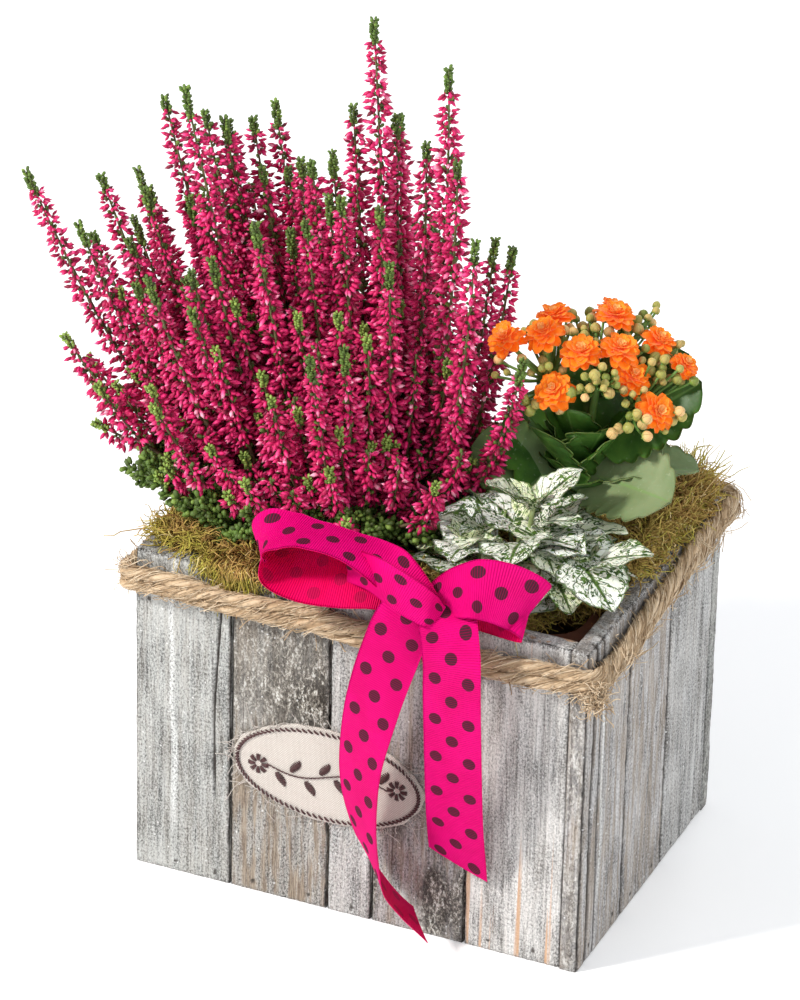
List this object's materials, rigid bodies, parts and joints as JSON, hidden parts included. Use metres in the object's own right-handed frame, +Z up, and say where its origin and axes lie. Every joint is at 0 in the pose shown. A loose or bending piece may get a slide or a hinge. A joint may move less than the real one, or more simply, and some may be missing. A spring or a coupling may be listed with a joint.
{
  "type": "planted window box",
  "caption": "Small box of whitewashed boards with a rope round its rim, a dotted ribbon bow and a stitched oval patch, planted with flowering and variegated plants.",
  "frame": {"origin": "middle of the underside of the box, on the surface it stands on", "axes": "+X to the right along the front wall, +Y from the front wall to the back wall, +Z up"},
  "size_m": [0.293, 0.1838, 0.363],
  "materials": {
    "white_board": "matt, whitewashed, rough sawn",
    "mottled_board": "matt, whitewash worn through",
    "dark_board": "matt, thin grey wash",
    "warm_board": "matt, whitewashed with warm streaks",
    "bare_wood": "matt, bare plywood",
    "tray": "thin moulded plastic, satin",
    "earth": "crumbly, dull",
    "moss": "fibrous, dull",
    "jute": "hairy twisted fibre, dull",
    "ribbon": "ribbed satin sheen",
    "linen": "coarse plain weave, dull",
    "heather": "small matt flowers",
    "kalanchoe": "fleshy leaf, slight sheen",
    "bloom": "soft petals, satin",
    "hypoestes": "soft thin leaf, satin"
  },
  "bodies": {
    "root": {"front_board_1": "white_board", "front_board_3": "white_board", "right_board_1": "white_board", "right_board_3": "white_board", "back_board_1": "white_board", "back_board_3": "white_board", "left_board_1": "white_board", "left_board_3": "white_board", "front_board_2": "mottled_board", "right_board_2": "mottled_board", "back_board_2": "mottled_board", "left_board_2": "mottled_board", "front_board_4": "dark_board", "back_board_4": "dark_board", "front_board_5": "warm_board", "back_board_5": "warm_board", "bottom_panel": "bare_wood", "liner_tray": "tray", "soil": "earth", "moss_front_left": "moss", "moss_front_right": "moss", "moss_right": "moss", "moss_back": "moss", "rope_round_rim": "jute", "ribbon_bow": "ribbon", "stitched_patch": "linen", "heather_spray_01": "heather", "heather_spray_02": "heather", "heather_spray_03": "heather", "heather_spray_04": "heather", "heather_spray_05": "heather", "heather_spray_06": "heather", "heather_spray_07": "heather", "heather_spray_08": "heather", "heather_spray_09": "heather", "heather_spray_10": "heather", "heather_spray_11": "heather", "heather_spray_12": "heather", "kalanchoe_plant": "kalanchoe", "kalanchoe_bloom_01": "bloom", "kalanchoe_bloom_02": "bloom", "kalanchoe_bloom_03": "bloom", "kalanchoe_bloom_04": "bloom", "kalanchoe_bloom_05": "bloom", "kalanchoe_bloom_06": "bloom", "kalanchoe_bloom_07": "bloom", "kalanchoe_bloom_08": "bloom", "kalanchoe_bloom_09": "bloom", "kalanchoe_bloom_10": "bloom", "kalanchoe_bloom_11": "bloom", "kalanchoe_bloom_12": "bloom", "hypoestes_plant": "hypoestes"}
  },
  "joints": []
}
